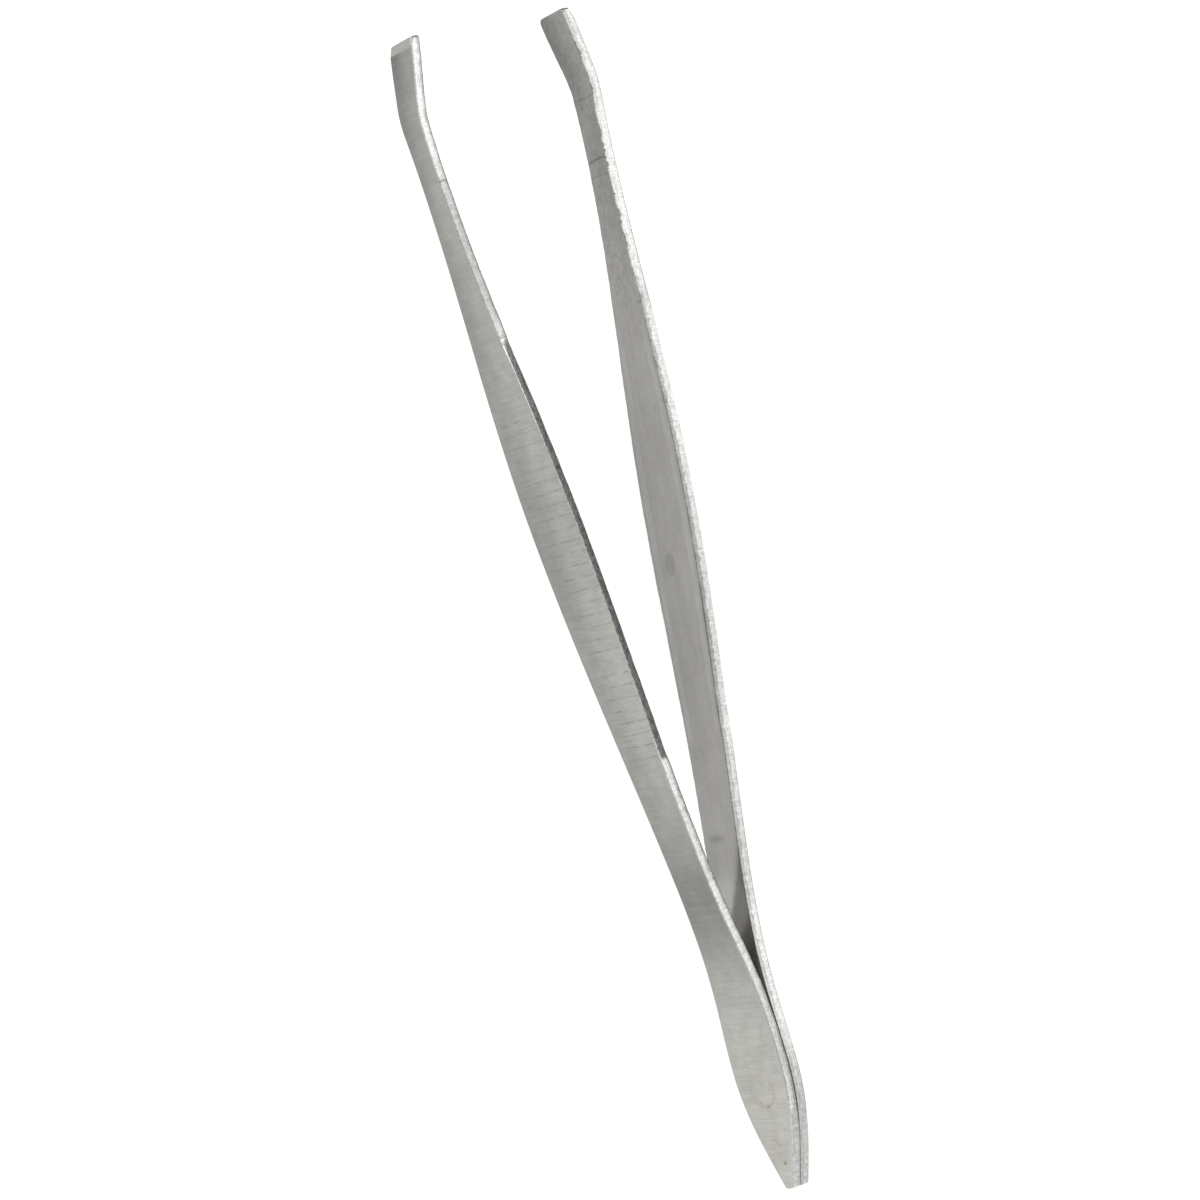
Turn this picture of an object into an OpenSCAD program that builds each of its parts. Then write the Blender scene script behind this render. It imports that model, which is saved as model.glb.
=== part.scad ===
// Slant tweezers: two bowed spring-steel strips spot-welded together at the tail.
// Lies on its long edges. +X points to the tips, +Y to the left arm, +Z up across the strip.
// The origin is under the middle of the length, on the plane of symmetry, level with the lowest edge.

/* [Strip] */
// Overall length, tail end to the longer tip corner
overall_l = 95; // [80:1:110]
// Thickness of the sheet each arm is stamped from
sheet_t = 0.8; // [0.6:0.05:1.2]

/* [Outline of the strip, widths across Z] */
// Width of the blunt tail end
tail_end_w = 1; // [0.5:0.1:3]
// Widest width of the tail
tail_w = 7.3; // [6:0.1:10]
// Distance from the tail end to the widest part of the tail
tail_x = 9.8; // [6:0.1:16]
// Width of the waist between tail and grip
waist_w = 4.9; // [4:0.1:7]
// Distance from the tail end to the waist
waist_x = 25.7; // [20:0.1:34]
// Width of the finger grip
grip_w = 6.8; // [5:0.1:10]
// Distance from the tail end to the middle of the grip
grip_x = 54; // [44:0.5:64]
// Width of the neck behind the jaw
neck_w = 2.85; // [2:0.05:5]
// Distance from the tail end to the neck
neck_x = 84; // [76:0.5:90]
// Width of the jaw at its end
tip_w = 3.7; // [2:0.1:6]
// Slant of the jaw's end across the strip, in degrees
tip_slant = 1; // [0:1:30]
// Radius of the long corner of the jaw
long_corner_r = 0.2; // [0.1:0.05:0.6]
// Radius of the short corner of the jaw
short_corner_r = 0.4; // [0.1:0.05:1]

/* [Bow of the arms] */
// Length of the flat tail where the strips touch
flat_l = 13; // [8:0.5:16]
// Radius of the bend that opens the arms
opening_r = 50; // [20:1:80]
// Angle of that bend, in degrees
opening_angle = 8.6; // [4:0.1:12]
// Radius of the long outward bow of each arm
bow_r = 760; // [400:10:1500]
// Length of the bow along the strip
bow_l = 67.7; // [60:0.1:76]
// Radius of the inward bend of the jaw
jaw_bend_r = 10; // [3:1:20]
// Angle of that bend, in degrees
jaw_bend_angle = 13.5; // [8:0.1:20]

/* [Tip grinding] */
// Length of the bevel ground on the outer face of the jaw's end
bevel_l = 0.8; // [0.3:0.1:2]
// Depth of that bevel at the end
bevel_depth = 0.15; // [0.05:0.05:0.4]
// Turn of each arm from rest until the jaws meet, in degrees
closing_angle = 5.6; // [2:0.1:8]
// Gap left between the two jaw facets when both arms are closed
closed_gap = 0.1; // [0.02:0.02:0.3]

/* [Grip lines] */
// Distance from the tail end to the first grip line
grip_start_x = 36; // [30:1:50]
// Number of grip lines on each arm
grip_lines = 29; // [0:1:40]
// Spacing of the grip lines along the strip
grip_pitch = 1; // [0.6:0.1:2]
// Radius of the round tool that presses a grip line
grip_tool_r = 0.15; // [0.1:0.05:0.4]
// Depth of a grip line
grip_depth = 0.06; // [0.02:0.01:0.15]

/* [Flexure and welds] */
// Distance from the tail end to the axis each arm turns about
flexure_x = 26.5; // [22:0.5:34]
// Running clearance round the flexure's turning axis
flexure_clear = 0.05; // [0.01:0.01:0.1]
// Diameter of a spot weld nugget
nugget_d = 2.8; // [2:0.1:4]
// Thickness of a nugget, shared by both strips
nugget_t = 0.7; // [0.3:0.05:1.2]
// Distance from the tail end to the front spot weld
front_weld_x = 8; // [6:0.5:12]
// Distance from the tail end to the rear spot weld
rear_weld_x = 3.4; // [2:0.2:5]

/* [Hidden] */
half_t = sheet_t / 2;
edge_step = 1;
corner_steps = 6;
opening_steps = 8;
root_steps = 4;
bow_steps = 32;
jaw_bend_steps = 6;
block_w = 30;

// Unit vector across the strip, towards its outer face, at a heading
function across(h) = [-sin(h), cos(h)];

// A station [x, y, heading] on the strip's middle surface, moved along an arc that turns by an angle
function arc_to(p, r, turn) =
    let (q = [p.x, p.y] + sign(turn) * r * (across(p.z) - across(p.z + turn)))
    [q.x, q.y, p.z + turn];

// The stations along such an arc, without its first one
function arc_run(p, r, turn, n) = [for (i = [1:n]) arc_to(p, r, turn * i / n)];

// Stations where the left arm's path changes: flat tail, opening bend, bow, jaw bend, straight jaw
tail_start = [0, half_t, 0];
flat_end = [flat_l, half_t, 0];
opening_end = arc_to(flat_end, opening_r, opening_angle);
bow_turn = -bow_l / bow_r * 180 / PI;
bow_end = arc_to(opening_end, bow_r, bow_turn);
jaw_start = arc_to(bow_end, jaw_bend_r, -jaw_bend_angle);
jaw_l = (overall_l - jaw_start.x) / cos(jaw_start.z);
jaw_reach = jaw_l + 2 * sheet_t;
jaw_end = [jaw_start.x + jaw_reach * cos(jaw_start.z), jaw_start.y + jaw_reach * sin(jaw_start.z), jaw_start.z];

// The flexure lies on the bow, where its distance from the tail end is flexure_x
flexure_turn = asin(sin(opening_angle) + (opening_end.x - flexure_x) / bow_r) - opening_angle;
flexure = arc_to(opening_end, bow_r, flexure_turn);
bevel_angle = atan(bevel_depth / bevel_l);

// Moves from tail-end coordinates on the strip's centre line to the part's frame
module in_frame() {
    translate([-overall_l / 2, 0, tail_w / 2]) children();
}

// Value that eases from a to b as x goes from x0 to x1
function ease(a, b, x0, x1, x) = a + (b - a) * (1 - cos(180 * (x - x0) / (x1 - x0))) / 2;

// Width of the strip at a distance x from the tail end
function strip_w(x) =
    x < tail_x ? tail_end_w + (tail_w - tail_end_w) * sin(90 * x / tail_x) :
    x < waist_x ? ease(tail_w, waist_w, tail_x, waist_x, x) :
    x < grip_x ? ease(waist_w, grip_w, waist_x, grip_x, x) :
    x < neck_x ? ease(grip_w, neck_w, grip_x, neck_x, x) :
    ease(neck_w, tip_w, neck_x, overall_l, x);

// Points of a corner arc, from one angle to another
function corner(centre, r, from, to) =
    [for (i = [0:corner_steps])
        let (a = from + (to - from) * i / corner_steps)
        centre + r * [cos(a), sin(a)]];

// The stamped outline of one arm, seen along Y: [x, z] with z = 0 on the centre line
long_centre = [overall_l - long_corner_r, tip_w / 2 - long_corner_r];
short_z = -tip_w / 2 + short_corner_r;
short_x = long_centre.x - (long_centre.y - short_z) * tan(tip_slant)
    + (long_corner_r - short_corner_r) / cos(tip_slant);
side_xs = [for (x = [0:edge_step:short_x - edge_step / 2]) x];
outline = concat(
    [for (x = side_xs) [x, strip_w(x) / 2]],
    corner(long_centre, long_corner_r, 90, -tip_slant),
    corner([short_x, short_z], short_corner_r, -tip_slant, -90),
    [for (i = [len(side_xs) - 1:-1:0]) [side_xs[i], -strip_w(side_xs[i]) / 2]]
);

module outline_block() {
    rotate([90, 0, 0])
        linear_extrude(height = block_w, center = true)
            polygon(outline);
}

// The sheet along a list of stations, seen along Z
module strip(path) {
    inner = [for (p = path) [p.x, p.y] - half_t * across(p.z)];
    outer = [for (i = [len(path) - 1:-1:0]) [path[i].x, path[i].y] + half_t * across(path[i].z)];
    polygon(concat(inner, outer));
}

// Side profile of the flat tail, its opening bend and the root of the bow, up to the flexure
module tail_profile() {
    difference() {
        strip(concat(
            [tail_start, flat_end],
            arc_run(flat_end, opening_r, opening_angle, opening_steps),
            arc_run(opening_end, bow_r, flexure_turn, root_steps)
        ));
        translate([flexure.x, flexure.y])
            circle(r = half_t + flexure_clear, $fn = 48);
    }
}

// Side profile of the sprung blade, from the flexure's round end to past the tip
module blade_profile() {
    difference() {
        union() {
            translate([flexure.x, flexure.y])
                circle(r = half_t, $fn = 48);
            strip(concat(
                [flexure],
                arc_run(flexure, bow_r, bow_turn - flexure_turn, bow_steps),
                arc_run(bow_end, jaw_bend_r, -jaw_bend_angle, jaw_bend_steps),
                [jaw_end]
            ));
        }
        grip_cuts();
    }
}

// Round grooves across the outer face of the bow
module grip_cuts() {
    tool_offset = half_t + grip_tool_r - grip_depth;
    for (i = [0:1:grip_lines - 1]) {
        s = grip_start_x - flexure_x + i * grip_pitch;
        at = arc_to(flexure, bow_r, -s / bow_r * 180 / PI);
        translate([at.x, at.y] + tool_offset * across(at.z))
            circle(r = grip_tool_r, $fn = 16);
    }
}

// Lens of fused metal that joins the strips
module nugget(x) {
    lens_r = (nugget_d * nugget_d + nugget_t * nugget_t) / (4 * nugget_t);
    rise = lens_r - nugget_t / 2;
    translate([x, 0, 0])
        rotate([90, 0, 0])
            rotate_extrude($fn = 72)
                intersection() {
                    translate([0, rise]) circle(r = lens_r, $fn = 360);
                    translate([0, -rise]) circle(r = lens_r, $fn = 360);
                    translate([0, -nugget_t]) square([nugget_d, 2 * nugget_t]);
                }
}

// The arms are built as the left one; the right one is its mirror image
module tail_tab() {
    difference() {
        intersection() {
            linear_extrude(height = tail_w, center = true) tail_profile();
            outline_block();
        }
        nugget(front_weld_x);
        nugget(rear_weld_x);
    }
}

// Bevel ground across the outer face, parallel to the slanted end
module bevel_cut() {
    translate([jaw_start.x, jaw_start.y, 0])
        rotate([0, 0, jaw_start.z])
            translate([jaw_l, half_t, 0])
                rotate([0, -tip_slant, 0])
                    translate([-bevel_l, 0, 0])
                        rotate([0, 0, -bevel_angle])
                            translate([-bevel_l, 0, -tip_w])
                                cube([4 * bevel_l, sheet_t, 2 * tip_w]);
}

// Facet ground on the inner face, square to Y once the arm has turned by its closing angle
module facet_cut() {
    translate([flexure.x, flexure.y, 0])
        rotate([0, 0, closing_angle])
            translate([overall_l / 2, closed_gap / 2 - flexure.y - sheet_t, -tip_w])
                cube([overall_l, sheet_t, 2 * tip_w]);
}

module blade() {
    difference() {
        intersection() {
            linear_extrude(height = tail_w, center = true) blade_profile();
            outline_block();
        }
        bevel_cut();
        facet_cut();
    }
}

module left_tail() {
    color("#c9c8c4") in_frame() tail_tab();
}

module right_tail() {
    color("#c9c8c4") in_frame() mirror([0, 1, 0]) tail_tab();
}

module front_weld() {
    color("#8f8b84") in_frame() nugget(front_weld_x);
}

module rear_weld() {
    color("#8f8b84") in_frame() nugget(rear_weld_x);
}

module left_blade() {
    color("#d4d3cf") in_frame() blade();
}

module right_blade() {
    color("#d4d3cf") in_frame() mirror([0, 1, 0]) blade();
}

left_tail();
right_tail();
front_weld();
rear_weld();
left_blade();
right_blade();
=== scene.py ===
"""Slant tweezers: two sprung steel strips welded at the tail, standing on their lower edges on a white table.

Each arm is one continuous strip. It replaces that arm's tail and blade nodes, and bends across the hinge
between them. Lengths are in millimetres until a mesh is made, and MM turns them into metres.

A place on a strip is given by x along it from the tail end, v across its width from the middle, and n through
the sheet, from -HALF on the inner face to HALF on the outer one.
"""

import math

import bpy
import numpy as np
from mathutils import Matrix, Vector


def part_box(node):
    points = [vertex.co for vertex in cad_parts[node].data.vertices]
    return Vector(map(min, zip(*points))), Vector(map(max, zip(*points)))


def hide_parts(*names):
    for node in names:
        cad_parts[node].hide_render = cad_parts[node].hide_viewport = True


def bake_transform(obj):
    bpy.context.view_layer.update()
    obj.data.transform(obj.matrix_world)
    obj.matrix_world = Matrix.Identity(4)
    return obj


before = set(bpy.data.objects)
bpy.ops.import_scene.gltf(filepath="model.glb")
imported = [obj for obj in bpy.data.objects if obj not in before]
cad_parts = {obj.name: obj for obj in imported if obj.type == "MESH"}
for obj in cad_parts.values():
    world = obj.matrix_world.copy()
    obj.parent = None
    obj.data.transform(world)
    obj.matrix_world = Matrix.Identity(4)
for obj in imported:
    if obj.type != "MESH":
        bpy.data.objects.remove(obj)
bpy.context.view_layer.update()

MM = 0.001

# ---------------------------------------------------------------- sizes shared with the CAD
tail_low, tail_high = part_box("left_tail")
_, blade_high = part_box("left_blade")
TAIL_X = tail_low.x / MM
TIP_X = blade_high.x / MM
MID_Z = (tail_low.z + tail_high.z) / 2 / MM
LENGTH = TIP_X - TAIL_X
WIDEST_Y = blade_high.y / MM
SHEET = 0.8
HALF = SHEET / 2

# the strip's widths, and where along it four of them are
TAIL_W = (tail_high.z - tail_low.z) / MM
TAIL_END_W, WAIST_W, GRIP_W, NECK_W, TIP_W = 1.0, 4.9, 6.8, 2.85, 3.7
AT_TAIL, AT_WAIST, AT_GRIP, AT_NECK = 9.8, 25.7, 54.0, 84.0
# the end of the jaw: its slant and the radii of its two corners
TIP_SLANT = math.radians(1)
LONG_CORNER, SHORT_CORNER = 0.2, 0.4

# the strip's path: a flat, then arcs that open the arm, bow it and turn the jaw inwards
FLAT = 13.0
OPENING_R, OPENING = 50.0, math.radians(8.6)
BOW_R, BOW_LENGTH = 760.0, 67.7
BOW = BOW_LENGTH / BOW_R
JAW_R, JAW = 10.0, math.radians(13.5)
# what is ground off the jaw's end: a bevel outside and a facet inside
BEVEL_L, BEVEL_DEPTH = 0.8, 0.15
FACET_L, FACET_DEPTH = 0.23, 0.062
# the lines pressed across the grip
GRIP_FROM, GRIP_LINES, GRIP_PITCH = 36.0, 29, 1.0
GRIP_END = GRIP_FROM + GRIP_PITCH * (GRIP_LINES - 1)

# ---------------------------------------------------------------- details that only the looks carry
# the press that shaped the grip: its span, how far it tilts the faces and how it leans the edges
PRESS_FROM, PRESS_TO, PRESS_EASE = 35.3, 70.6, 4.0
PRESS_TILT = math.radians(4)
PRESS_LEAN, LEAN_GROWTH = math.radians(5.5), math.radians(5)
LEAN_EASE, LEAN_FADE = 0.6, 60.0
# the break on the sheared edges, the span over which its tearing grows, and the pitch of its unevenness
BREAK_LEAN, BREAK_AT, BREAK_WANDER = math.radians(2), -0.08, 0.07
TEAR_FROM, TEAR_TO = 56.0, 62.0
KNOT_PITCH = 0.3
# the depth and half the width of a grip line
GROOVE_DEPTH, GROOVE_HALF = 0.02, 0.14
# radii of the strip's corners, how far a burr changes them, and their limits
PRESSED_ROUND, INNER_ROUND, END_ROUND = 0.05, 0.09, 0.08
BURR, LEAST_ROUND, MOST_ROUND = 0.03, 0.03, 0.2


def ease(a, b, x0, x1, x):
    """A half-cosine blend from a at x0 to b at x1."""
    return a + (b - a) * (1 - np.cos(np.pi * (x - x0) / (x1 - x0))) / 2


def strip_width(x):
    """The strip's width at a distance x from the tail end."""
    x = np.asarray(x, float)
    tail = TAIL_END_W + (TAIL_W - TAIL_END_W) * np.sin(np.pi / 2 * np.clip(x, 0, AT_TAIL) / AT_TAIL)
    return np.select(
        [x < AT_TAIL, x < AT_WAIST, x < AT_GRIP, x < AT_NECK],
        [
            tail,
            ease(TAIL_W, WAIST_W, AT_TAIL, AT_WAIST, x),
            ease(WAIST_W, GRIP_W, AT_WAIST, AT_GRIP, x),
            ease(GRIP_W, NECK_W, AT_GRIP, AT_NECK, x),
        ],
        ease(NECK_W, TIP_W, AT_NECK, LENGTH, x),
    )


def along_arc(station, radius, turn):
    """The station after an arc that turns by an angle, with the strip's outer side on +n."""
    x, y, h = station
    side = math.copysign(radius, turn)
    return (
        x + side * (math.sin(h + turn) - math.sin(h)),
        y + side * (math.cos(h) - math.cos(h + turn)),
        h + turn,
    )


FLAT_END = (FLAT, HALF, 0.0)
OPENING_END = along_arc(FLAT_END, OPENING_R, OPENING)
BOW_END = along_arc(OPENING_END, BOW_R, -BOW)
JAW_START = along_arc(BOW_END, JAW_R, -JAW)


def stations():
    """Stations (x, y, heading) of the left arm's middle surface, from the tail end to the straight jaw."""
    flat = np.concatenate([[0.0, 0.15, 0.3, 0.5, 0.75], np.arange(1.0, FLAT, 0.5)])
    found = [(x, HALF, 0.0) for x in flat]
    found.append(FLAT_END)
    found += [along_arc(FLAT_END, OPENING_R, OPENING * i / 14) for i in range(1, 15)]
    # the bow has short steps where the grip lines are
    s, steps = 0.0, []
    while s < BOW_LENGTH - 0.4:
        x = along_arc(OPENING_END, BOW_R, -s / BOW_R)[0]
        s += 0.3 if x < GRIP_FROM - 1 else 0.0835 if x < GRIP_END + 1 else 0.15
        steps.append(s)
    found += [along_arc(OPENING_END, BOW_R, -s / BOW_R) for s in steps if s < BOW_LENGTH - 0.05]
    found.append(BOW_END)
    found += [along_arc(BOW_END, JAW_R, -JAW * i / 16) for i in range(1, 17)]
    return found


def end_outline(v):
    """How far the tip reaches at a place v across the strip, with its rounded corners."""
    v = np.asarray(v, float)
    top = TIP_W / 2
    end_line = LENGTH - (top - v) * math.tan(TIP_SLANT)
    reach = end_line.copy()
    for sign, r in ((1, LONG_CORNER), (-1, SHORT_CORNER)):
        depth = np.clip(sign * v - (top - r), 0, r)
        rounded = end_line - (r - np.sqrt(np.maximum(r * r - depth * depth, 0)))
        reach = np.where(sign * v > top - r, rounded, reach)
    return reach


# how many segments each face, corner and side of a ring has
FACE_CUTS, ARC_CUTS, EDGE_CUTS = 26, 4, 8
# material slots of a strip's surfaces
SLOTS = {"outer": 0, "inner": 1, "edge": 2}
# the least radius of a corner
SHARP = 0.005
# faces that meet at less than this angle are shaded as one surface
SMOOTH_TO = math.radians(40)


def ring_profile(half_w, high, low, round_top, round_bottom, round_low):
    """One closed ring of the strip's section: (v, n) points, and the surface that each segment belongs to.

    The outer face's two corners have radii of their own, and the inner face's ones share round_low.
    """
    points, tags = [], []

    def arc(cv, cn, r, a0, a1):
        for i in range(ARC_CUTS):
            a = math.radians(a0 + (a1 - a0) * i / ARC_CUTS)
            points.append((cv + r * math.cos(a), cn + r * math.sin(a)))
            tags.append("edge")

    def face(n, v0, v1, tag):
        for i in range(FACE_CUTS):
            t = math.sin(math.pi / 2 * (-1 + 2 * i / FACE_CUTS))
            points.append(((v0 + v1) / 2 + (v1 - v0) / 2 * t, n))
            tags.append(tag)

    def side(v, n0, n1):
        for i in range(EDGE_CUTS):
            points.append((v, n0 + (n1 - n0) * i / EDGE_CUTS))
            tags.append("edge")

    rt, rb, rl = round_top, round_bottom, round_low
    face(high, -half_w + rb, half_w - rt, "outer")
    arc(half_w - rt, high - rt, rt, 90, 0)
    side(half_w, high - rt, low + rl)
    arc(half_w - rl, low + rl, rl, 0, -90)
    face(low, half_w - rl, -half_w + rl, "inner")
    arc(-half_w + rl, low + rl, rl, -90, -180)
    side(-half_w, low + rl, high - rb)
    arc(-half_w + rb, high - rb, rb, 180, 90)
    return np.array(points), tags


def press(x, blend):
    """How much of the finger press the strip has at x, from 0 to 1, reached over a length of blend."""
    up = np.clip((x - PRESS_FROM) / blend, 0, 1)
    down = np.clip((PRESS_TO - x) / blend, 0, 1)
    return np.minimum(up * up * (3 - 2 * up), down * down * (3 - 2 * down))


def groove(x, v, half_w, lines):
    """Depth of the grip lines at x and v: strongest over the upper part of the width."""
    k = int(round((x - GRIP_FROM) / GRIP_PITCH))
    depth = np.zeros_like(v)
    if 0 <= k < GRIP_LINES:
        shift, strength, low_end, lean = lines[k]
        d = (x - GRIP_FROM - k * GRIP_PITCH - shift - lean * v) / GROOVE_HALF
        bump = np.where(np.abs(d) < 1, (1 + np.cos(np.pi * d)) / 2, 0)
        u = v / half_w
        across = np.clip((u - low_end) / 0.5, 0.0, 1) * np.clip((1.02 - u) / 0.12, 0, 1)
        depth = GROOVE_DEPTH * strength * bump * across
    return depth


def sheared(v, n, x, half_w, breaks):
    """Draws a ring's sides in, as shearing leaves them: straight, then broken away towards the inner face."""
    knots, rough, torn = breaks
    pressed = press(x, np.where(v > 0, LEAN_EASE, PRESS_EASE))
    fade = np.clip((x - LEAN_FADE) / (PRESS_TO - LEAN_FADE), 0, 1)
    down = HALF - n
    lean = math.tan(PRESS_LEAN) * (1 - 0.5 * fade) * down + math.tan(LEAN_GROWTH) * down**2 / SHEET
    below = np.maximum(0, BREAK_AT + BREAK_WANDER * np.interp(x, knots, rough) - n)
    tear = max(0.0, float(np.interp(x, knots, torn))) * (v > 0) * np.clip(below / 0.3, 0, 1)
    drop = lean * pressed + math.tan(BREAK_LEAN) * (1 - pressed) * below + tear
    return v - v / half_w * drop


def place(station, v, n, x, tilt):
    """Bends a ring's points across the width by the press's tilt, and puts them on the path."""
    half_w = float(strip_width(x)) / 2
    slope = math.tan(tilt) * v / half_w
    lean = np.arctan(slope)
    mid = -math.tan(tilt) * v * v / (2 * half_w)
    v2 = v + n * np.sin(lean)
    n2 = mid + n * np.cos(lean)
    px, py, h = station
    return np.stack([px - math.sin(h) * n2, py + math.cos(h) * n2, v2], 1)


def rounds(x, outer_round, breaks):
    """Radii of a ring's corners at x: the press sharpens the outer ones, a burr unsettles the inner ones."""
    change = min(0, PRESSED_ROUND - outer_round)
    top, bottom = (outer_round + change * float(press(x, blend)) for blend in (LEAN_EASE, PRESS_EASE))
    knots, rough, _ = breaks
    inner = INNER_ROUND + BURR * np.interp(x, knots, rough)
    return top, bottom, float(np.clip(inner, LEAST_ROUND, MOST_ROUND))


def grip_strokes(rng):
    """How each grip line was struck: its shift along the strip, strength, lower end and lean."""
    return [
        (
            rng.uniform(-0.04, 0.04),
            rng.uniform(0.35, 1.0),
            rng.uniform(-0.75, 0.1),
            rng.uniform(-0.02, 0.02),
        )
        for _ in range(GRIP_LINES)
    ]


def edge_breaks(rng, tear):
    """Knots along the strip, and at each how far the break wanders and how deep it is torn."""
    knots = np.arange(0, LENGTH + KNOT_PITCH, KNOT_PITCH)
    coarse = knots[::4]
    rough, torn = (
        rng.uniform(-1, 1, knots.size) + np.interp(knots, coarse, rng.uniform(-1, 1, coarse.size))
        for _ in range(2)
    )
    torn = tear * torn * (0.3 + 0.7 * np.clip((knots - TEAR_FROM) / (TEAR_TO - TEAR_FROM), 0, 1))
    return knots, rough, torn


def build_arm(name, side, seed, outer_round, tear):
    """The object of one arm: side is 1 for the left one and -1 for the right one, its mirror image."""
    rng = np.random.default_rng(seed)
    lines = grip_strokes(rng)
    breaks = edge_breaks(rng, tear)
    rings, marks = [], []

    def add(ring, v, n, x):
        rings.append(ring)
        marks.append(np.stack([np.broadcast_to(x, v.shape), v, n], 1))

    # blunt tail end, rounded
    for phi in (90, 60, 30):
        inset = END_ROUND * (1 - math.cos(math.radians(phi)))
        back = END_ROUND * (1 - math.sin(math.radians(phi)))
        half_w = float(strip_width(0)) / 2 - inset
        corners = (max(r - inset, SHARP) for r in (outer_round, outer_round, INNER_ROUND))
        prof, tags = ring_profile(half_w, HALF - inset, -HALF + inset, *corners)
        v, n = prof.T
        add(place((back, HALF, 0.0), v, n, 0.0, 0.0), v, n, back)

    for station in stations():
        x = station[0]
        if x < END_ROUND:
            station = (END_ROUND, HALF, 0.0)
            x = END_ROUND
        half_w = float(strip_width(x)) / 2
        prof, tags = ring_profile(half_w, HALF, -HALF, *rounds(x, outer_round, breaks))
        v, n = prof.T
        cut = groove(x, v, half_w, lines)
        n_cut = n - cut * np.clip((n + HALF) / SHEET, 0, 1) ** 4
        tilt = PRESS_TILT * float(press(x, PRESS_EASE))
        add(place(station, sheared(v, n, x, half_w, breaks), n_cut, x, tilt), v, n, x)

    # straight jaw: rings turn from square to the strip to parallel with the slanted end, and crowd up to it
    jx, jy, h = JAW_START
    sin_h, cos_h = math.sin(h), math.cos(h)
    reach = LENGTH - jx
    ground = [1.2, 1.05, 0.95, 0.87, 0.8, 0.73, 0.66, 0.58, 0.5, 0.42, 0.34, 0.27, 0.2, 0.14, 0.09, END_ROUND]
    distances = np.concatenate([np.arange(reach - 0.2, 1.3, -0.17), ground])
    facet_slope, bevel_slope = FACET_DEPTH / FACET_L, BEVEL_DEPTH / BEVEL_L

    def jaw_ring(distance, inset):
        f = 1 - distance / reach
        at = jx + f * reach
        half_w = float(strip_width(at)) / 2 - inset
        corners = (max(r - inset, SHARP) for r in rounds(at, outer_round, breaks))
        prof, tags = ring_profile(half_w, HALF - inset, -HALF + inset, *corners)
        v, n = prof.T
        thick = np.clip((n + HALF) / SHEET, 0, 1)
        end = end_outline(np.clip(v, -TIP_W / 2, TIP_W / 2))
        x = (1 - f) * (jx - sin_h * n) + f * end
        bevel = max(0.0, BEVEL_L - distance) * bevel_slope
        facet = max(0.0, FACET_L - distance) * facet_slope
        n2 = n - thick * bevel + (1 - thick) * facet
        d = (x - jx + n2 * sin_h) / cos_h
        y = jy + d * sin_h + n2 * cos_h
        add(np.stack([x, y, sheared(v, n, at, half_w, breaks)], 1), v, n2, x)

    for distance in distances:
        jaw_ring(distance, 0.0)
    for phi in (30, 60, 90):
        a = math.radians(phi)
        jaw_ring(END_ROUND * (1 - math.sin(a)), END_ROUND * (1 - math.cos(a)))
    return strip_object(name, side, rings, marks, tags)


def strip_object(name, side, rings, marks, tags):
    """Joins rings into an object, with its surfaces' material slots and each point's place on the strip."""
    count = len(rings[0])
    points = np.concatenate(rings)
    strip = np.concatenate(marks)
    faces, slots = [], []
    for r in range(len(rings) - 1):
        for i in range(count):
            a, b = r * count + i, r * count + (i + 1) % count
            faces.append((a, a + count, b + count, b))
            slots.append(SLOTS[tags[i]])
    for base, last in ((0, False), ((len(rings) - 1) * count, True)):
        for face in cap_faces(count):
            face = tuple(base + i for i in face)
            faces.append(face if last else face[::-1])
            slots.append(SLOTS["edge"])

    points[:, 0] += TAIL_X
    points[:, 2] += MID_Z
    points[:, 1] = np.minimum(points[:, 1], WIDEST_Y) * side
    if side < 0:
        faces = [f[::-1] for f in faces]
    mesh = bpy.data.meshes.new(name)
    mesh.from_pydata((points * MM).tolist(), [], faces)
    mesh.polygons.foreach_set("material_index", slots)
    mesh.polygons.foreach_set("use_smooth", [True] * len(faces))
    mesh.set_sharp_from_angle(angle=SMOOTH_TO)
    layer = mesh.attributes.new("strip", "FLOAT_VECTOR", "POINT")
    layer.data.foreach_set("vector", strip.astype(np.float32).ravel())
    across = strip[:, 1] / strip_width(strip[:, 0]) * 2
    mesh.attributes.new("across", "FLOAT", "POINT").data.foreach_set("value", across.astype(np.float32))
    mesh.validate()
    mesh.update()
    arm = bpy.data.objects.new(name, mesh)
    bpy.context.scene.collection.objects.link(arm)
    return arm


def cap_faces(count):
    """Faces that close an end ring: each joins the outer face's points to the ones behind them."""
    outer = list(range(0, FACE_CUTS + 1))
    inner = [FACE_CUTS + 2 * ARC_CUTS + EDGE_CUTS + FACE_CUTS - i for i in range(FACE_CUTS + 1)]
    low_side = list(range(inner[0] + 1, count))
    high_side = list(range(outer[-1] + 1, inner[-1]))
    faces = []
    for i in range(FACE_CUTS):
        face = [outer[i], outer[i + 1]]
        face += high_side if i == FACE_CUTS - 1 else []
        face += [inner[i + 1], inner[i]]
        face += low_side if i == 0 else []
        faces.append(tuple(face))
    return faces


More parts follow.
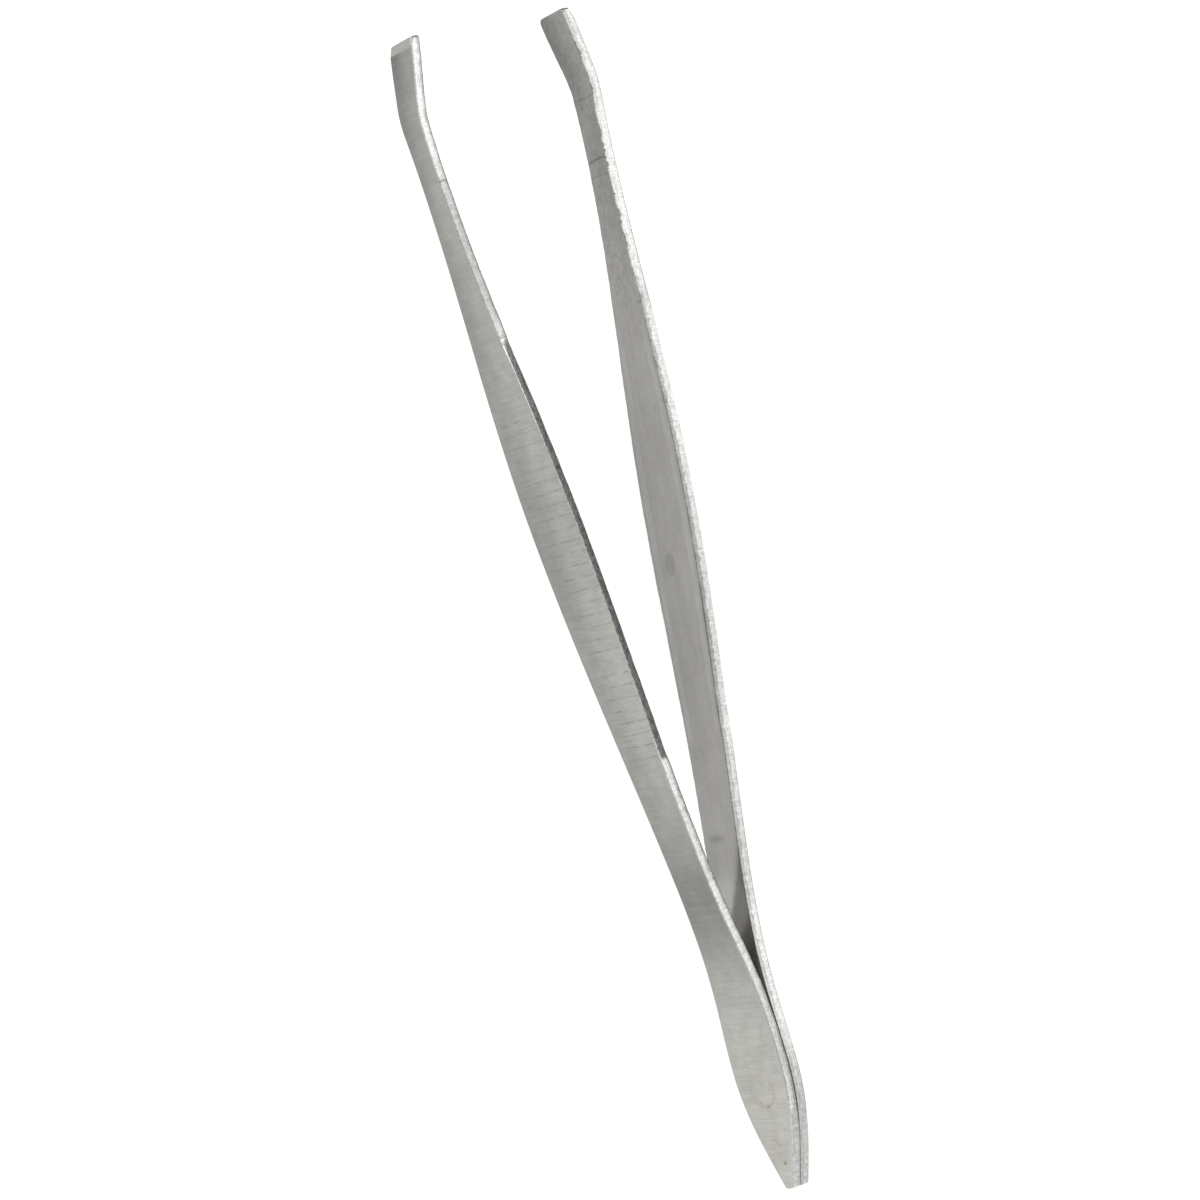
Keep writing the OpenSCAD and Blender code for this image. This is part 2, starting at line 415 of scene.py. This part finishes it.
# ---------------------------------------------------------------- materials
class Nodes:
    """A material's nodes, added and joined in short lines."""

    def __init__(self, name):
        self.material = bpy.data.materials.new(name)
        self.material.use_nodes = True
        self.tree = self.material.node_tree
        self.tree.nodes.clear()
        self.out = self.tree.nodes.new("ShaderNodeOutputMaterial")
        self.shader = self.tree.nodes.new("ShaderNodeBsdfPrincipled")
        self.tree.links.new(self.shader.outputs[0], self.out.inputs[0])

    def put(self, socket, value):
        if isinstance(value, bpy.types.NodeSocket):
            self.tree.links.new(value, socket)
        else:
            socket.default_value = value

    def node(self, kind, inputs=None, **settings):
        made = self.tree.nodes.new(kind)
        for key, value in settings.items():
            setattr(made, key, value)
        for key, value in (inputs or {}).items():
            self.put(made.inputs[key], value)
        return made

    def strip(self):
        return self.node("ShaderNodeAttribute", attribute_name="strip").outputs["Vector"]

    def across(self):
        return self.node("ShaderNodeAttribute", attribute_name="across").outputs["Fac"]

    def math(self, operation, a, b=0.0, c=0.0):
        return self.node("ShaderNodeMath", {0: a, 1: b, 2: c}, operation=operation).outputs[0]

    def stretch(self, vector, scale, offset):
        inputs = {"Vector": vector, "Scale": scale, "Location": offset}
        return self.node("ShaderNodeMapping", inputs).outputs[0]

    def noise(self, vector, scale, detail, rough, distortion=0.0):
        inputs = {
            "Vector": vector,
            "Scale": scale,
            "Detail": detail,
            "Roughness": rough,
            "Distortion": distortion,
        }
        return self.node("ShaderNodeTexNoise", inputs).outputs["Fac"]

    def ramp(self, value, low, high, to_low=0.0, to_high=1.0):
        inputs = {"Value": value, "From Min": low, "From Max": high, "To Min": to_low, "To Max": to_high}
        made = self.node("ShaderNodeMapRange", inputs, interpolation_type="SMOOTHSTEP")
        return made.outputs["Result"]

    def mix(self, fac, a, b):
        return self.node("ShaderNodeMix", {0: fac, 6: a, 7: b}, data_type="RGBA").outputs[2]

    def split(self, vector):
        made = self.node("ShaderNodeSeparateXYZ", {0: vector})
        return made.outputs[0], made.outputs[1], made.outputs[2]

    def between(self, x, rise, fall):
        """1 between two places, rising through one span and falling through the other."""
        return self.math("MULTIPLY", self.ramp(x, *rise), self.ramp(x, *fall, 1.0, 0.0))

    def along(self, x, stops):
        """A value that follows the strip's length through (distance, value) stops."""
        made = self.node("ShaderNodeFloatCurve", {"Value": self.math("DIVIDE", x, LENGTH)})
        curve = made.mapping.curves[0]
        for i, (at, value) in enumerate(stops):
            point = (at / LENGTH, value / 2)
            if i < 2:
                curve.points[i].location = point
            else:
                curve.points.new(*point)
        made.mapping.update()
        return self.math("MULTIPLY", made.outputs[0], 2.0)

    def leaning(self, x, stops):
        """A factor that changes across the strip: a stop's value at the top, its mirror in 1 at the foot."""
        half = self.math("SUBTRACT", self.along(x, stops), 1.0)
        return self.math("MULTIPLY_ADD", half, self.ramp(self.across(), -0.6, 0.6, -1.0, 1.0), 1.0)

    def bump(self, height, strength, distance):
        inputs = {"Height": height, "Strength": strength, "Distance": distance}
        return self.node("ShaderNodeBump", inputs).outputs[0]

    def scaled(self, color, factor):
        made = self.node("ShaderNodeVectorMath", {0: color, 3: factor}, operation="SCALE")
        return made.outputs[0]


# colours of the steel and of its heat tint
STEEL = (0.362, 0.357, 0.335)
INNER_STEEL = (0.305, 0.300, 0.284)
DULLED_STEEL = (0.305, 0.282, 0.272)
EDGE_STEEL = (0.82, 0.815, 0.79)
BEVEL_STEEL = (0.36, 0.355, 0.334)
STRAW = (0.36, 0.34, 0.26, 1)
SCORCH = (0.16, 0.14, 0.11, 1)
FUSED, FUSED_PALE = (0.30, 0.27, 0.23, 1), (0.47, 0.44, 0.40, 1)
# places of the heat tint on the outer face
FRONT_WELD_AT, STAIN_AT = 8.0, 3.2
# heights of the surfaces' grain, in metres, and how many grains a metre of weld has
OUTER_RELIEF, INNER_RELIEF, EDGE_RELIEF, WELD_RELIEF = 0.000012, 0.000008, 0.000018, 0.00004
WELD_GRAINS = 6000.0
# painted reflection and shade: how light each surface is painted at distances from the tail end, standing in
# for the changing reflections along the bent strip
OUTER_PAINTED_REFLECTION = [
    (0, 1.27), (10, 1.2), (15, 1.12), (19, 0.88), (22, 0.68), (24.5, 0.63), (28, 0.79), (32, 0.9), (42, 0.99),
    (50, 0.91), (56, 0.87), (62, 0.94), (76, 0.87), (80, 0.9), (85, 0.82), (91, 0.7), (95, 0.58),
]
INNER_PAINTED_REFLECTION = [
    (0, 1.5), (16, 1.5), (18.5, 1.45), (20.5, 1.28), (23, 1.3), (26, 1.0), (30, 1.03), (40, 0.94), (50, 0.98),
    (60, 0.93), (68, 0.99), (76, 0.86), (84, 0.78), (90, 0.74), (95, 0.72),
]
# painted reflection: how much lighter the faces are painted above their middle than below it, standing in for
# reflections across the curved faces
OUTER_PAINTED_LIGHT_SLOPE = [(0, 1.03), (30, 1.02), (38, 1.1), (80, 1.11), (88, 1.14), (95, 1.26)]
INNER_PAINTED_LIGHT_SLOPE = [(0, 1.0), (66, 0.99), (76, 0.94), (84, 0.95), (88, 1.08), (95, 1.17)]
# painted reflection: how light each arm's edge is painted at distances from the tail end, standing in for the
# light its changing slant reflects
EDGE_PAINTED_REFLECTION = {
    "left_strip": [
        (0, 0.95), (5, 0.93), (9, 0.64), (12, 0.64), (15, 0.68), (20, 0.76), (28, 0.73), (34, 0.8), (60, 0.8),
        (66, 0.88), (70, 0.9), (72, 0.65), (75, 0.62), (79, 0.6), (83, 0.68), (86, 0.92), (95, 0.88),
    ],
    "right_strip": [
        (0, 0.95), (5, 0.93), (8.5, 0.62), (13, 0.87), (21, 0.87), (27, 0.68), (34, 0.76), (42, 0.66),
        (52, 0.68), (60, 0.78), (70, 0.82), (74, 0.96), (80, 0.99), (88, 0.92), (95, 0.88),
    ],
}
# how much darker the broken part of each edge is
EDGE_BREAK = {
    "left_strip": [(0, 0.1), (30, 0.14), (70, 0.1), (73, 0.02), (80, 0.02), (85, 0.1), (95, 0.12)],
    "right_strip": [
        (0, 0.15), (10, 0.15), (20, 0.3), (34, 0.25), (38, 0.38), (58, 0.38), (70, 0.3), (74, 0.1),
        (86, 0.12), (95, 0.28),
    ],
}


def spot(n, x, v, at_x, at_v, half_x, half_v, soft=0.5):
    """1 inside an oval on the strip, and 0 outside it."""
    dx = n.math("DIVIDE", n.math("SUBTRACT", x, at_x), half_x)
    dv = n.math("DIVIDE", n.math("SUBTRACT", v, at_v), half_v)
    r = n.math("SQRT", n.math("ADD", n.math("MULTIPLY", dx, dx), n.math("MULTIPLY", dv, dv)))
    return n.ramp(r, 1 - soft, 1 + soft, 1.0, 0.0)


def outer_face(name, shift, dots):
    """Brushed across the strip, with the pressed grip's lines darkened by painted shade, and the welds' heat
    tint.
    """
    n = Nodes(name)
    strip = n.strip()
    x, v, _ = n.split(strip)
    hair = n.noise(n.stretch(strip, (11, 0.6, 1), (shift, 0, 0)), 1.0, 4.0, 0.65)
    lines = n.noise(n.stretch(strip, (4.5, 0.3, 1), (shift, 9, 0)), 1.0, 4.0, 0.6, 0.3)
    cloud = n.noise(n.stretch(strip, (0.7, 0.8, 1), (shift, 7, 0)), 1.0, 4.0, 0.6)
    # painted reflection: the face's lightness along the strip and from its foot to its top
    tone = n.math("MULTIPLY", n.along(x, OUTER_PAINTED_REFLECTION), n.leaning(x, OUTER_PAINTED_LIGHT_SLOPE))
    tone = n.math("MULTIPLY", tone, n.ramp(hair, 0.3, 0.7, 0.94, 1.06))
    tone = n.math("MULTIPLY", tone, n.ramp(lines, 0.25, 0.75, 0.91, 1.08))
    tone = n.math("MULTIPLY", tone, n.ramp(cloud, 0.3, 0.7, 0.94, 1.05))
    # grip lines: thin, broken, about a millimetre apart, their grooves darkened with painted shade
    wobble = n.noise(n.stretch(strip, (0.7, 0.9, 1), (shift, 2, 0)), 1.0, 2.0, 0.5)
    strayed = n.math("MULTIPLY", n.math("SUBTRACT", wobble, 0.5), 0.16)
    phase = n.math("ADD", n.math("SUBTRACT", x, GRIP_FROM), strayed)
    phase = n.math("FRACT", n.math("ADD", n.math("DIVIDE", phase, GRIP_PITCH), 0.5))
    off = n.math("ABSOLUTE", n.math("SUBTRACT", phase, 0.5))
    stroke = n.ramp(off, 0.02, 0.11, 1.0, 0.0)
    broken = n.ramp(n.noise(n.stretch(strip, (1.0, 1.1, 1), (shift, 5, 0)), 1.0, 3.0, 0.6), 0.36, 0.62)
    inside = n.between(x, (GRIP_FROM - 0.6, GRIP_FROM), (GRIP_END, GRIP_END + 1.0))
    side = n.ramp(v, -3.2, 0.6, 0.12, 1.0)
    stroke = n.math("MULTIPLY", n.math("MULTIPLY", stroke, broken), n.math("MULTIPLY", inside, side))
    # painted shade: the grip lines' grooves darkened in colour
    tone = n.math("MULTIPLY", tone, n.math("SUBTRACT", 1.0, n.math("MULTIPLY", stroke, 0.24)))
    color = n.scaled(STEEL, tone)
    # spot welds: a faint straw-coloured ring, a stain and a few scorched dots
    disc = spot(n, x, v, FRONT_WELD_AT, 0.0, 1.44, 1.72, 0.09)
    ring = n.math("SUBTRACT", disc, spot(n, x, v, FRONT_WELD_AT, 0.0, 1.2, 1.46, 0.09))
    haze = n.noise(n.stretch(strip, (2.2, 2.2, 1), (shift, 1, 0)), 1.0, 3.0, 0.6)
    ring = n.math("MULTIPLY", ring, n.ramp(haze, 0.36, 0.64, 0.1, 0.85))
    stain = spot(n, x, v, STAIN_AT, 0.3, 1.5, 0.75, 0.6)
    stain = n.math("MULTIPLY", stain, n.ramp(haze, 0.35, 0.6, 0.0, 0.55))
    color = n.mix(n.math("MAXIMUM", ring, stain), color, STRAW)
    for at_x, at_v, size, amount in dots:
        dot = n.math("MULTIPLY", spot(n, x, v, at_x, at_v, size * 0.7, size, 0.6), amount)
        color = n.mix(dot, color, SCORCH)
    # ground bevel at the tip
    ground = n.ramp(x, LENGTH - BEVEL_L - 0.12, LENGTH - BEVEL_L + 0.02)
    bevel_tone = n.scaled(BEVEL_STEEL, n.ramp(hair, 0.3, 0.7, 0.95, 1.04))
    color = n.mix(ground, color, bevel_tone)
    n.put(n.shader.inputs["Base Color"], color)
    n.shader.inputs["Metallic"].default_value = 1.0
    n.put(n.shader.inputs["Roughness"], n.ramp(lines, 0.2, 0.8, 0.28, 0.42))
    height = n.math("ADD", n.math("MULTIPLY", hair, 0.35), n.math("MULTIPLY", lines, 0.65))
    height = n.math("SUBTRACT", height, n.math("MULTIPLY", stroke, 0.8))
    n.put(n.shader.inputs["Normal"], n.bump(height, 0.35, OUTER_RELIEF))
    return n.material


def inner_face(name, shift, marked):
    """Smoother than the outer face, with faint lines along the strip, cross scratches and rubbed spots."""
    n = Nodes(name)
    strip = n.strip()
    x, v, _ = n.split(strip)
    lines = n.noise(n.stretch(strip, (0.1, 6, 1), (shift, 0, 0)), 1.0, 4.0, 0.6)
    grain = n.noise(n.stretch(strip, (5, 5, 1), (shift, 3, 0)), 1.0, 5.0, 0.65)
    cloud = n.noise(n.stretch(strip, (0.35, 0.6, 1), (shift, 8, 0)), 1.0, 3.0, 0.5)
    # painted reflection: the face's lightness along the strip and from its foot to its top
    tone = n.math("MULTIPLY", n.along(x, INNER_PAINTED_REFLECTION), n.leaning(x, INNER_PAINTED_LIGHT_SLOPE))
    tone = n.math("MULTIPLY", tone, n.ramp(lines, 0.25, 0.75, 0.955, 1.04))
    tone = n.math("MULTIPLY", tone, n.ramp(grain, 0.3, 0.7, 0.945, 1.05))
    mottle = n.noise(n.stretch(strip, (1.8, 2.4, 1), (shift, 11, 0)), 1.0, 5.0, 0.7)
    patchy = n.math("MULTIPLY", n.ramp(mottle, 0.3, 0.7, -0.14, 0.11), n.ramp(x, 66.0, 74.0))
    tone = n.math("MULTIPLY_ADD", tone, patchy, tone)
    # painted reflection: lighter bands near both edges where the grip was pressed, standing in for the
    # pressed face's curved reflections
    off = n.math("ABSOLUTE", n.math("SUBTRACT", n.math("ABSOLUTE", n.across()), 0.76))
    pressed = n.between(x, (PRESS_FROM, PRESS_FROM + 1.5), (PRESS_TO - 6, PRESS_TO))
    painted_margin_sheen = n.math("MULTIPLY", n.ramp(off, 0.05, 0.14, 0.11, 0.0), pressed)
    tone = n.math("MULTIPLY_ADD", tone, painted_margin_sheen, tone)
    tone = n.math("MULTIPLY", tone, n.ramp(cloud, 0.3, 0.7, 0.95, 1.05))
    scratch = None
    for at_x, width, lean, amount in marked["lines"]:
        shifted = n.math("SUBTRACT", n.math("ADD", x, n.math("MULTIPLY", v, lean)), at_x)
        wavy = n.math("ADD", shifted, n.math("MULTIPLY", n.math("SUBTRACT", grain, 0.5), 0.25))
        one = n.math("MULTIPLY", n.ramp(n.math("ABSOLUTE", wavy), 0.0, width, 1.0, 0.0), amount)
        scratch = one if scratch is None else n.math("MAXIMUM", scratch, one)
    for at_x, at_v, half_x, half_v, soft, amount in marked["spots"]:
        one = n.math("MULTIPLY", spot(n, x, v, at_x, at_v, half_x, half_v, soft), amount)
        scratch = one if scratch is None else n.math("MAXIMUM", scratch, one)
    fleck = n.ramp(n.noise(n.stretch(strip, (1.6, 1.6, 1), (shift, 6, 0)), 1.0, 2.0, 0.5), 0.73, 0.78)
    scratch = n.math("MAXIMUM", scratch, n.math("MULTIPLY", fleck, 0.3))
    tone = n.math("MULTIPLY", tone, n.math("SUBTRACT", 1.0, scratch))
    # near the weld, where the arms lie close together, the inner face is browner and less metallic
    dulled = n.ramp(x, 16.5, 20.5, 1.0, 0.0)
    color = n.mix(dulled, n.scaled(INNER_STEEL, tone), n.scaled(DULLED_STEEL, tone))
    n.put(n.shader.inputs["Base Color"], color)
    n.put(n.shader.inputs["Metallic"], n.math("SUBTRACT", 1.0, n.math("MULTIPLY", dulled, 0.55)))
    n.put(n.shader.inputs["Roughness"], n.ramp(grain, 0.2, 0.8, 0.11, 0.2))
    n.put(n.shader.inputs["Normal"], n.bump(n.math("ADD", grain, lines), 0.12, INNER_RELIEF))
    return n.material


def sheared_edge(name, shift, painted_edge_light, breaks, notches, outer_round, break_at, patchy, scallops):
    """A burnished band towards the outer face, a grainy broken one towards the inner, striae through both.

    painted_edge_light is how light the edge is painted along the strip, a painted reflection, and breaks how
    much darker its broken part is. The break starts at the depth break_at. patchy is how uneven the band is
    where the grip was pressed, and scallops is how far, in millimetres, the break has eaten into it from the
    inner face, nearer to the tip.
    """
    n = Nodes(name)
    strip = n.strip()
    x, _, depth = n.split(strip)
    striae = n.noise(n.stretch(strip, (7, 0.6, 0.5), (shift, 0, 0)), 1.0, 4.0, 0.6)
    grain = n.noise(n.stretch(strip, (7, 7, 7), (shift, 4, 0)), 1.0, 5.0, 0.7)
    mottle = n.noise(n.stretch(strip, (2.6, 2.6, 4.5), (shift, 6, 0)), 1.0, 4.0, 0.65)
    # painted reflection: the edge's lightness along the strip, with random striae, grain and mottle
    tone = n.math("MULTIPLY", n.along(x, painted_edge_light), n.ramp(striae, 0.25, 0.75, 0.85, 1.1))
    tone = n.math("MULTIPLY", tone, n.ramp(grain, 0.3, 0.7, 0.88, 1.09))
    tone = n.math("MULTIPLY", tone, n.ramp(mottle, 0.3, 0.7, 0.8, 1.11))
    edge_at = n.math("ADD", depth, n.math("MULTIPLY", n.math("SUBTRACT", mottle, 0.5), 0.35))
    broken = n.ramp(edge_at, break_at - 0.14, break_at, 1.0, 0.0)
    dark = n.math("MULTIPLY", broken, n.along(x, breaks))
    # painted shade: a dark line along the edge's inner corner near the tail, where the two arms meet
    crevice_shade = n.math("MULTIPLY", n.ramp(depth, -0.4, -0.33, 1.0, 0.0), n.ramp(x, 14.0, 18.0, 0.7, 0.0))
    dark = n.math("MAXIMUM", dark, crevice_shade)
    for at_x, width, amount in notches:
        wavy = n.math("MULTIPLY_ADD", n.math("SUBTRACT", grain, 0.5), 0.2, x)
        off = n.math("ABSOLUTE", n.math("SUBTRACT", wavy, at_x))
        dark = n.math("MAXIMUM", dark, n.math("MULTIPLY", n.ramp(off, width / 2, width, 1.0, 0.0), amount))
    tone = n.math("MULTIPLY", tone, n.math("SUBTRACT", 1.0, dark))
    if patchy:
        patches = n.noise(n.stretch(strip, (2.6, 2, 4), (shift, 9, 0)), 1.0, 5.0, 0.75)
        border = n.math("MULTIPLY", n.ramp(depth, 0.05, 0.28), n.ramp(depth, 0.31, 0.36, 1.0, -0.6))
        border = n.math("MAXIMUM", border, n.ramp(depth, -0.38, -0.22, 0.5, -0.6))
        border = n.math("MULTIPLY", border, n.ramp(mottle, 0.36, 0.64, 0.2 * patchy, patchy))
        extra = n.math("ADD", border, n.ramp(patches, 0.34, 0.66, -0.8 * patchy, 1.5 * patchy))
        pressed = n.between(x, (PRESS_FROM, PRESS_FROM + 0.6), (PRESS_TO - 0.6, PRESS_TO))
        tone = n.math("MULTIPLY_ADD", tone, n.math("MULTIPLY", extra, pressed), tone)
    face_like = n.ramp(depth, HALF - 0.32 * outer_round, HALF)
    # the outer corner blends into the face's colour, with its painted reflection
    face_painted_reflection = n.math("MULTIPLY", n.along(x, OUTER_PAINTED_REFLECTION), n.leaning(x, OUTER_PAINTED_LIGHT_SLOPE))
    color = n.mix(face_like, n.scaled(EDGE_STEEL, tone), n.scaled(STEEL, face_painted_reflection))
    if scallops:
        eaten = n.noise(n.stretch(strip, (1.3, 0.3, 0.3), (shift, 12, 0)), 1.0, 5.0, 0.75)
        eaten = n.math("MULTIPLY", n.ramp(eaten, 0.42, 0.7, -0.06, scallops), n.ramp(x, TEAR_FROM, TEAR_TO))
        eaten = n.ramp(n.math("SUBTRACT", n.math("ADD", depth, HALF), eaten), -0.03, 0.02, 0.9, 0.0)
        # the eaten part takes the inner face's colour, with its painted reflection
        color = n.mix(eaten, color, n.scaled(INNER_STEEL, n.along(x, INNER_PAINTED_REFLECTION)))
    n.put(n.shader.inputs["Base Color"], color)
    n.shader.inputs["Metallic"].default_value = 1.0
    rough = n.math("MULTIPLY_ADD", broken, 0.1, n.ramp(grain, 0.2, 0.8, 0.16, 0.28))
    n.put(n.shader.inputs["Roughness"], rough)
    coarse = n.math("MULTIPLY_ADD", broken, 0.5, 0.3)
    height = n.math("MULTIPLY_ADD", striae, 0.5, n.math("MULTIPLY", grain, coarse))
    n.put(n.shader.inputs["Normal"], n.bump(height, 0.45, EDGE_RELIEF))
    return n.material


def weld_metal():
    """The welds' grainy fused steel."""
    n = Nodes("weld_metal")
    place_at = n.node("ShaderNodeTexCoord").outputs["Object"]
    grain = n.noise(place_at, WELD_GRAINS, 4.0, 0.6)
    tint = n.mix(n.ramp(grain, 0.3, 0.7), FUSED, FUSED_PALE)
    n.put(n.shader.inputs["Base Color"], tint)
    n.shader.inputs["Metallic"].default_value = 1.0
    n.put(n.shader.inputs["Roughness"], n.ramp(grain, 0.2, 0.8, 0.4, 0.6))
    n.put(n.shader.inputs["Normal"], n.bump(grain, 0.3, WELD_RELIEF))
    return n.material


# ---------------------------------------------------------------- the two arms
# scorched dots on the outer faces: x, v, size and strength
WELD_DOTS = [(6.75, 0.3, 0.22, 0.55), (7.1, -0.5, 0.15, 0.35), (2.1, 0.45, 0.2, 0.6), (2.9, 0.1, 0.12, 0.3)]
# scratches across the inner faces are x, width, lean and strength
# rubbed spots are x, v, half sizes along and across, softness and strength
MARKS = {
    "left_strip": {"lines": [(70.2, 0.07, 0.05, 0.2)], "spots": [(41.0, 0.7, 0.5, 0.35, 0.3, 0.1)]},
    "right_strip": {
        "lines": [(81.5, 0.1, 0.03, 0.26), (82.8, 0.17, -0.04, 0.42), (87.8, 0.12, 0.0, 0.28)],
        "spots": [
            (50.0, -0.8, 0.95, 0.72, 0.12, 0.15),
            (28.0, -0.6, 0.3, 1.0, 0.8, 0.22),
            (70.8, 2.1, 0.12, 0.5, 0.6, 0.35),
        ],
    },
}
# dark nicks across the sheared edges are x, width and strength
NOTCHES = {"left_strip": [(83.5, 0.12, 0.4), (70.6, 0.2, 0.3)], "right_strip": []}
# how each arm was sheared: its seed, outer rounding and tear, and its edge's break, patches and scallops
SHEARING = {
    "left_strip": (11, 0.22, 0.01, -0.08, 0.45, 0.0),
    "right_strip": (23, 0.012, 0.1, -0.01, 0.0, 0.22),
}
for name, side, body in (("left_strip", 1, "left_arm"), ("right_strip", -1, "right_arm")):
    seed, outer_round, tear, break_at, patchy, scallops = SHEARING[name]
    arm = build_arm(name, side, seed, outer_round, tear)
    painted_edge_light, darker, nicks = EDGE_PAINTED_REFLECTION[name], EDGE_BREAK[name], NOTCHES[name]
    for material in (
        outer_face(name + "_outer", 13.0 * seed, WELD_DOTS),
        inner_face(name + "_inner", 7.0 * seed, MARKS[name]),
        sheared_edge(
            name + "_edge", 5.0 * seed, painted_edge_light, darker, nicks, outer_round, break_at, patchy, scallops
        ),
    ):
        arm.data.materials.append(material)
    tail, blade = name.replace("strip", "tail"), name.replace("strip", "blade")
    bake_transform(arm)
    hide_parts(tail, blade)

weld = weld_metal()
for node in ("front_weld", "rear_weld"):
    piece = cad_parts[node]
    piece.data.materials.clear()
    piece.data.materials.append(weld)

# ---------------------------------------------------------------- table, light and camera
FLOOR_HALF, FLOOR_Z = 3.0, -0.00001
TABLE_GLOW, ROOM_LIGHT = 0.9, 0.17
floor_mesh = bpy.data.meshes.new("table")
floor_corners = [
    (sx * FLOOR_HALF, sy * FLOOR_HALF, FLOOR_Z) for sx, sy in ((-1, -1), (1, -1), (1, 1), (-1, 1))
]
floor_mesh.from_pydata(floor_corners, [], [(0, 1, 2, 3)])
floor = bpy.data.objects.new("table", floor_mesh)
bpy.context.scene.collection.objects.link(floor)
n = Nodes("white_table")
n.shader.inputs["Base Color"].default_value = (0.25, 0.25, 0.25, 1)
n.shader.inputs["Roughness"].default_value = 0.9
n.shader.inputs["Emission Color"].default_value = (1, 1, 1, 1)
n.shader.inputs["Emission Strength"].default_value = TABLE_GLOW
floor_mesh.materials.append(n.material)

world = bpy.data.worlds.new("studio")
world.use_nodes = True
world.node_tree.nodes["Background"].inputs[0].default_value = (1, 1, 1, 1)
world.node_tree.nodes["Background"].inputs[1].default_value = ROOM_LIGHT
bpy.context.scene.world = world


def softbox(name, location, target, size_x, size_y, power):
    """A rectangular light that faces the target. Sizes are in metres, and the power in watts."""
    light = bpy.data.lights.new(name, "AREA")
    light.shape = "RECTANGLE"
    light.size, light.size_y = size_x, size_y
    light.energy = power
    made = bpy.data.objects.new(name, light)
    made.location = location
    made.rotation_euler = (Vector(location) - Vector(target)).to_track_quat("Z", "Y").to_euler()
    bpy.context.scene.collection.objects.link(made)


softbox("overhead", (0, -0.08, 0.6), (0, -0.08, 0), 1.0, 0.85, 3.4)
softbox("front", (0, 0.7, 0.4), (0, 0, 0), 1.7, 0.8, 3.0)
softbox("side", (-0.8, -0.1, 0.36), (0, 0, 0), 1.6, 0.7, 2.1)

# the camera that the photo's outlines were fitted with, as a lens in front of a 36 mm sensor
LENS = 121.542
CAMERA_AT = Vector((0.003706, 0.171393, 0.274130))
CAMERA_RIGHT = Vector((-0.264331, -0.818061, 0.510789))
CAMERA_UP = Vector((0.964403, -0.228273, 0.133482))
camera_data = bpy.data.cameras.new("camera")
camera_data.sensor_width = 36.0
camera_data.lens = LENS
camera_data.clip_start = 0.01
camera = bpy.data.objects.new("camera", camera_data)
right = CAMERA_RIGHT.normalized()
back = right.cross(CAMERA_UP).normalized()
up = back.cross(right)
camera.matrix_world = Matrix.Translation(CAMERA_AT) @ Matrix((right, up, back)).transposed().to_4x4()
bpy.context.scene.collection.objects.link(camera)
bpy.context.scene.camera = camera
bpy.context.scene.view_settings.view_transform = "Standard"
